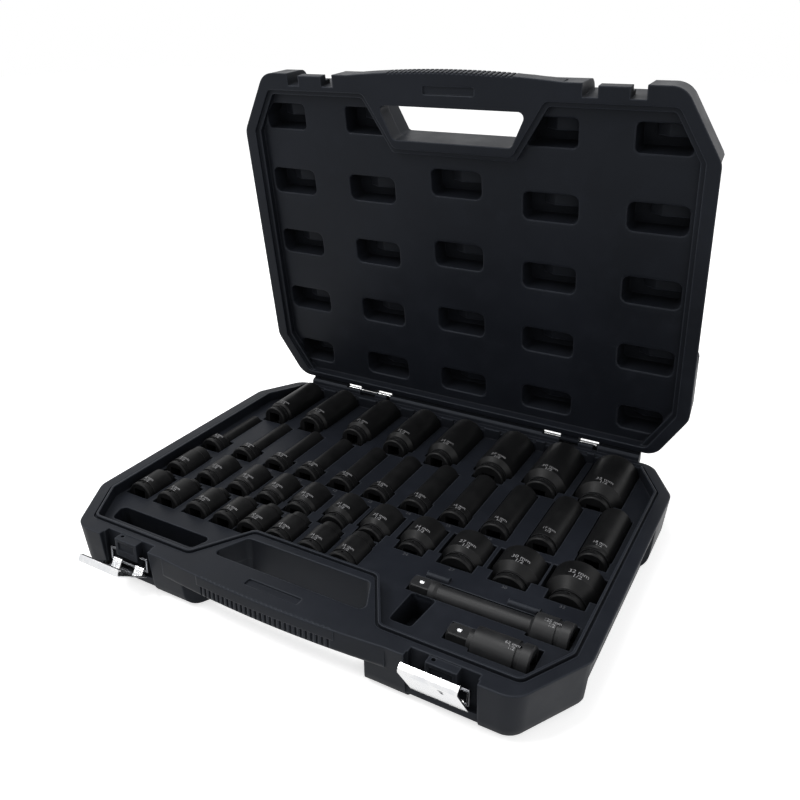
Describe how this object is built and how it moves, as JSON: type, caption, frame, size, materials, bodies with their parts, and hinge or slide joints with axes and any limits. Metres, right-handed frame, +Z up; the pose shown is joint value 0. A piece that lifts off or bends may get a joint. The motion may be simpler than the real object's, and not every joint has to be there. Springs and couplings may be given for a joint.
{
  "type": "socket wrench set in case",
  "caption": "Square-drive impact socket set in a hinged moulded carry case: shallow and deep hex sockets and extension bars in fitted troughs, draw latches, grip handle.",
  "frame": {"origin": "centre of the case base underside, on the surface the case stands on", "axes": "+X to the right seen from the latches, +Y from the latches to the hinges, +Z up"},
  "size_m": [0.45, 0.3963, 0.3914],
  "materials": {
    "case_plastic": "satin, finely textured",
    "pin_wire": "bright plated",
    "latch_wire": "bright plated",
    "latch_plate": "bright plated",
    "socket_steel": "matt black phosphate",
    "bar_steel": "matt black phosphate",
    "ball_steel": "polished"
  },
  "bodies": {
    "base": {"base_shell": "case_plastic", "hinge_pin_left": "pin_wire", "hinge_pin_right": "pin_wire"},
    "lid": {"lid_shell": "case_plastic"},
    "bail_left": {"latch_bail_left": "latch_wire"},
    "bail_right": {"latch_bail_right": "latch_wire"},
    "lever_left": {"latch_lever_left": "latch_plate"},
    "lever_right": {"latch_lever_right": "latch_plate"},
    "deep_socket_08": {"deep_socket_08": "socket_steel"},
    "deep_socket_09": {"deep_socket_09": "socket_steel"},
    "deep_socket_10": {"deep_socket_10": "socket_steel"},
    "deep_socket_11": {"deep_socket_11": "socket_steel"},
    "deep_socket_12": {"deep_socket_12": "socket_steel"},
    "deep_socket_13": {"deep_socket_13": "socket_steel"},
    "deep_socket_14": {"deep_socket_14": "socket_steel"},
    "deep_socket_15": {"deep_socket_15": "socket_steel"},
    "deep_socket_16": {"deep_socket_16": "socket_steel"},
    "deep_socket_17": {"deep_socket_17": "socket_steel"},
    "deep_socket_18": {"deep_socket_18": "socket_steel"},
    "deep_socket_19": {"deep_socket_19": "socket_steel"},
    "deep_socket_20": {"deep_socket_20": "socket_steel"},
    "deep_socket_21": {"deep_socket_21": "socket_steel"},
    "deep_socket_22": {"deep_socket_22": "socket_steel"},
    "deep_socket_24": {"deep_socket_24": "socket_steel"},
    "deep_socket_27": {"deep_socket_27": "socket_steel"},
    "deep_socket_30": {"deep_socket_30": "socket_steel"},
    "deep_socket_32": {"deep_socket_32": "socket_steel"},
    "shallow_socket_08": {"shallow_socket_08": "socket_steel"},
    "shallow_socket_09": {"shallow_socket_09": "socket_steel"},
    "shallow_socket_10": {"shallow_socket_10": "socket_steel"},
    "shallow_socket_11": {"shallow_socket_11": "socket_steel"},
    "shallow_socket_12": {"shallow_socket_12": "socket_steel"},
    "shallow_socket_13": {"shallow_socket_13": "socket_steel"},
    "shallow_socket_14": {"shallow_socket_14": "socket_steel"},
    "shallow_socket_15": {"shallow_socket_15": "socket_steel"},
    "shallow_socket_16": {"shallow_socket_16": "socket_steel"},
    "shallow_socket_17": {"shallow_socket_17": "socket_steel"},
    "shallow_socket_18": {"shallow_socket_18": "socket_steel"},
    "shallow_socket_19": {"shallow_socket_19": "socket_steel"},
    "shallow_socket_20": {"shallow_socket_20": "socket_steel"},
    "shallow_socket_21": {"shallow_socket_21": "socket_steel"},
    "shallow_socket_22": {"shallow_socket_22": "socket_steel"},
    "shallow_socket_24": {"shallow_socket_24": "socket_steel"},
    "shallow_socket_27": {"shallow_socket_27": "socket_steel"},
    "shallow_socket_30": {"shallow_socket_30": "socket_steel"},
    "shallow_socket_32": {"shallow_socket_32": "socket_steel"},
    "long_bar": {"extension_bar_long": "bar_steel"},
    "short_bar": {"extension_bar_short": "bar_steel"},
    "long_bar_ball": {"detent_ball_long": "ball_steel"},
    "short_bar_ball": {"detent_ball_short": "ball_steel"}
  },
  "joints": [
    {"name": "lid_hinge", "type": "hinge", "parent": "base", "child": "lid", "pos_m": [0, 0.174, 0.0478], "axis": [-1, 0, 0], "range_deg": [-81, 15]},
    {"name": "bail_swing_left", "type": "hinge", "parent": "base", "child": "bail_left", "pos_m": [-0.141, -0.1626, 0.031], "axis": [-1, 0, 0], "range_deg": [0, 20]},
    {"name": "lever_swing_left", "type": "hinge", "parent": "bail_left", "child": "lever_left", "pos_m": [-0.141, -0.16315, 0.02041], "axis": [1, 0, 0], "range_deg": [-57, 0]},
    {"name": "bail_swing_right", "type": "hinge", "parent": "base", "child": "bail_right", "pos_m": [0.141, -0.1626, 0.031], "axis": [-1, 0, 0], "range_deg": [0, 20]},
    {"name": "lever_swing_right", "type": "hinge", "parent": "bail_right", "child": "lever_right", "pos_m": [0.141, -0.16315, 0.02041], "axis": [1, 0, 0], "range_deg": [-33, 0]},
    {"name": "deep_socket_08_lift", "type": "slide", "parent": "base", "child": "deep_socket_08", "axis": [0, 0, 1], "range_m": [0, 0.06]},
    {"name": "deep_socket_09_lift", "type": "slide", "parent": "base", "child": "deep_socket_09", "axis": [0, 0, 1], "range_m": [0, 0.06]},
    {"name": "deep_socket_10_lift", "type": "slide", "parent": "base", "child": "deep_socket_10", "axis": [0, 0, 1], "range_m": [0, 0.06]},
    {"name": "deep_socket_11_lift", "type": "slide", "parent": "base", "child": "deep_socket_11", "axis": [0, 0, 1], "range_m": [0, 0.06]},
    {"name": "deep_socket_12_lift", "type": "slide", "parent": "base", "child": "deep_socket_12", "axis": [0, 0, 1], "range_m": [0, 0.06]},
    {"name": "deep_socket_13_lift", "type": "slide", "parent": "base", "child": "deep_socket_13", "axis": [0, 0, 1], "range_m": [0, 0.06]},
    {"name": "deep_socket_14_lift", "type": "slide", "parent": "base", "child": "deep_socket_14", "axis": [0, 0, 1], "range_m": [0, 0.06]},
    {"name": "deep_socket_15_lift", "type": "slide", "parent": "base", "child": "deep_socket_15", "axis": [0, 0, 1], "range_m": [0, 0.06]},
    {"name": "deep_socket_16_lift", "type": "slide", "parent": "base", "child": "deep_socket_16", "axis": [0, 0, 1], "range_m": [0, 0.06]},
    {"name": "deep_socket_17_lift", "type": "slide", "parent": "base", "child": "deep_socket_17", "axis": [0, 0, 1], "range_m": [0, 0.06]},
    {"name": "deep_socket_18_lift", "type": "slide", "parent": "base", "child": "deep_socket_18", "axis": [0, 0, 1], "range_m": [0, 0.06]},
    {"name": "deep_socket_19_lift", "type": "slide", "parent": "base", "child": "deep_socket_19", "axis": [0, 0, 1], "range_m": [0, 0.06]},
    {"name": "deep_socket_20_lift", "type": "slide", "parent": "base", "child": "deep_socket_20", "axis": [0, 0, 1], "range_m": [0, 0.06]},
    {"name": "deep_socket_21_lift", "type": "slide", "parent": "base", "child": "deep_socket_21", "axis": [0, 0, 1], "range_m": [0, 0.06]},
    {"name": "deep_socket_22_lift", "type": "slide", "parent": "base", "child": "deep_socket_22", "axis": [0, 0, 1], "range_m": [0, 0.06]},
    {"name": "deep_socket_24_lift", "type": "slide", "parent": "base", "child": "deep_socket_24", "axis": [0, 0, 1], "range_m": [0, 0.06]},
    {"name": "deep_socket_27_lift", "type": "slide", "parent": "base", "child": "deep_socket_27", "axis": [0, 0, 1], "range_m": [0, 0.06]},
    {"name": "deep_socket_30_lift", "type": "slide", "parent": "base", "child": "deep_socket_30", "axis": [0, 0, 1], "range_m": [0, 0.06]},
    {"name": "deep_socket_32_lift", "type": "slide", "parent": "base", "child": "deep_socket_32", "axis": [0, 0, 1], "range_m": [0, 0.06]},
    {"name": "shallow_socket_08_lift", "type": "slide", "parent": "base", "child": "shallow_socket_08", "axis": [0, 0, 1], "range_m": [0, 0.06]},
    {"name": "shallow_socket_09_lift", "type": "slide", "parent": "base", "child": "shallow_socket_09", "axis": [0, 0, 1], "range_m": [0, 0.06]},
    {"name": "shallow_socket_10_lift", "type": "slide", "parent": "base", "child": "shallow_socket_10", "axis": [0, 0, 1], "range_m": [0, 0.06]},
    {"name": "shallow_socket_11_lift", "type": "slide", "parent": "base", "child": "shallow_socket_11", "axis": [0, 0, 1], "range_m": [0, 0.06]},
    {"name": "shallow_socket_12_lift", "type": "slide", "parent": "base", "child": "shallow_socket_12", "axis": [0, 0, 1], "range_m": [0, 0.06]},
    {"name": "shallow_socket_13_lift", "type": "slide", "parent": "base", "child": "shallow_socket_13", "axis": [0, 0, 1], "range_m": [0, 0.06]},
    {"name": "shallow_socket_14_lift", "type": "slide", "parent": "base", "child": "shallow_socket_14", "axis": [0, 0, 1], "range_m": [0, 0.06]},
    {"name": "shallow_socket_15_lift", "type": "slide", "parent": "base", "child": "shallow_socket_15", "axis": [0, 0, 1], "range_m": [0, 0.06]},
    {"name": "shallow_socket_16_lift", "type": "slide", "parent": "base", "child": "shallow_socket_16", "axis": [0, 0, 1], "range_m": [0, 0.06]},
    {"name": "shallow_socket_17_lift", "type": "slide", "parent": "base", "child": "shallow_socket_17", "axis": [0, 0, 1], "range_m": [0, 0.06]},
    {"name": "shallow_socket_18_lift", "type": "slide", "parent": "base", "child": "shallow_socket_18", "axis": [0, 0, 1], "range_m": [0, 0.06]},
    {"name": "shallow_socket_19_lift", "type": "slide", "parent": "base", "child": "shallow_socket_19", "axis": [0, 0, 1], "range_m": [0, 0.06]},
    {"name": "shallow_socket_20_lift", "type": "slide", "parent": "base", "child": "shallow_socket_20", "axis": [0, 0, 1], "range_m": [0, 0.06]},
    {"name": "shallow_socket_21_lift", "type": "slide", "parent": "base", "child": "shallow_socket_21", "axis": [0, 0, 1], "range_m": [0, 0.06]},
    {"name": "shallow_socket_22_lift", "type": "slide", "parent": "base", "child": "shallow_socket_22", "axis": [0, 0, 1], "range_m": [0, 0.06]},
    {"name": "shallow_socket_24_lift", "type": "slide", "parent": "base", "child": "shallow_socket_24", "axis": [0, 0, 1], "range_m": [0, 0.06]},
    {"name": "shallow_socket_27_lift", "type": "slide", "parent": "base", "child": "shallow_socket_27", "axis": [0, 0, 1], "range_m": [0, 0.06]},
    {"name": "shallow_socket_30_lift", "type": "slide", "parent": "base", "child": "shallow_socket_30", "axis": [0, 0, 1], "range_m": [0, 0.06]},
    {"name": "shallow_socket_32_lift", "type": "slide", "parent": "base", "child": "shallow_socket_32", "axis": [0, 0, 1], "range_m": [0, 0.06]},
    {"name": "long_bar_lift", "type": "slide", "parent": "base", "child": "long_bar", "axis": [0, 0, 1], "range_m": [0, 0.06]},
    {"name": "short_bar_lift", "type": "slide", "parent": "base", "child": "short_bar", "axis": [0, 0, 1], "range_m": [0, 0.06]},
    {"name": "long_bar_ball_press", "type": "slide", "parent": "long_bar", "child": "long_bar_ball", "axis": [0, 0, -1], "range_m": [0, 0.0012], "stiffness_N_per_m": 600},
    {"name": "short_bar_ball_press", "type": "slide", "parent": "short_bar", "child": "short_bar_ball", "axis": [0, 0, -1], "range_m": [0, 0.0012], "stiffness_N_per_m": 600}
  ]
}
